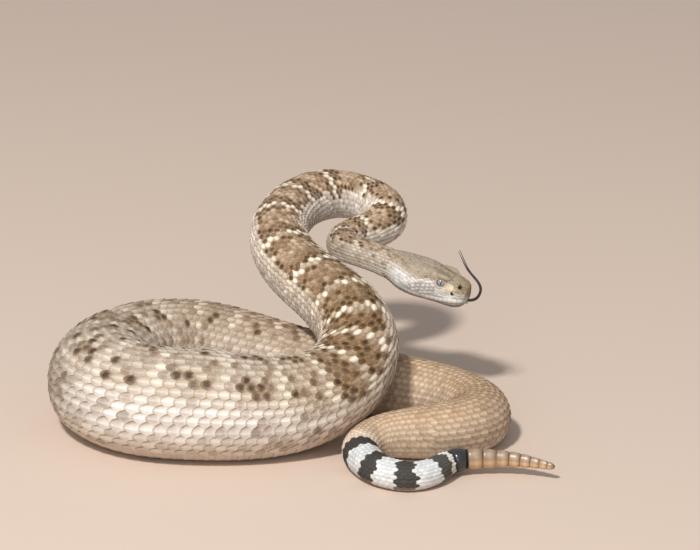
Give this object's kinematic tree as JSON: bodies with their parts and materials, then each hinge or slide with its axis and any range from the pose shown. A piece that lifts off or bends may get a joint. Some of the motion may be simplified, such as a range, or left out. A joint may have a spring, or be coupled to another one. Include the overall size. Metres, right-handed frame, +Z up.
{
  "type": "western diamondback rattlesnake, coiled",
  "caption": "Life-size western diamondback rattlesnake lying in a loose coil, its neck drawn back in an S above the loops, forked tongue out and ringed tail with a rattle",
  "frame": {"origin": "centre of the footprint, on the ground the snake lies on", "axes": "+X from the left-hand loop towards the snout and the rattle, +Y away from the near side, +Z up"},
  "size_m": [0.2615, 0.2339, 0.1054],
  "materials": {
    "body_scales": "matte keeled scales, grey-tan with brown diamonds edged in cream",
    "tail_bands": "matte scales in bands of chalk white and charcoal",
    "black_base": "smooth black scales, slightly glossy",
    "rattle_horn": "horny, tan and slightly glossy",
    "head_scales": "matte fine scales, grey-tan",
    "jaw_scales": "smooth pale scales",
    "eye": "wet and glossy, grey iris with an upright slit pupil",
    "tongue": "moist, near black"
  },
  "bodies": {
    "root": {"arch_rise": "body_scales", "arch_top": "body_scales", "back_run": "body_scales", "column": "body_scales", "column_foot": "body_scales", "eye_left": "eye", "eye_right": "eye", "front_run": "body_scales", "head": "head_scales", "left_loop_back": "body_scales", "left_loop_turn": "body_scales", "lower_jaw": "jaw_scales", "neck": "body_scales", "neck_turn_left": "body_scales", "neck_turn_right": "body_scales", "rattle_base": "black_base", "rattle_lobe_1": "rattle_horn", "rattle_lobe_2": "rattle_horn", "rattle_lobe_3": "rattle_horn", "rattle_lobe_4": "rattle_horn", "rattle_lobe_5": "rattle_horn", "rattle_lobe_6": "rattle_horn", "rattle_lobe_7": "rattle_horn", "rattle_lobe_8": "rattle_horn", "rear_loop_far": "body_scales", "rear_loop_near": "body_scales", "rear_run": "body_scales", "rising_turn": "body_scales", "tail_bend": "tail_bands", "tail_end": "tail_bands", "tail_root": "body_scales", "tongue": "tongue", "tongue_tine_left": "tongue", "tongue_tine_right": "tongue"}
  },
  "joints": []
}
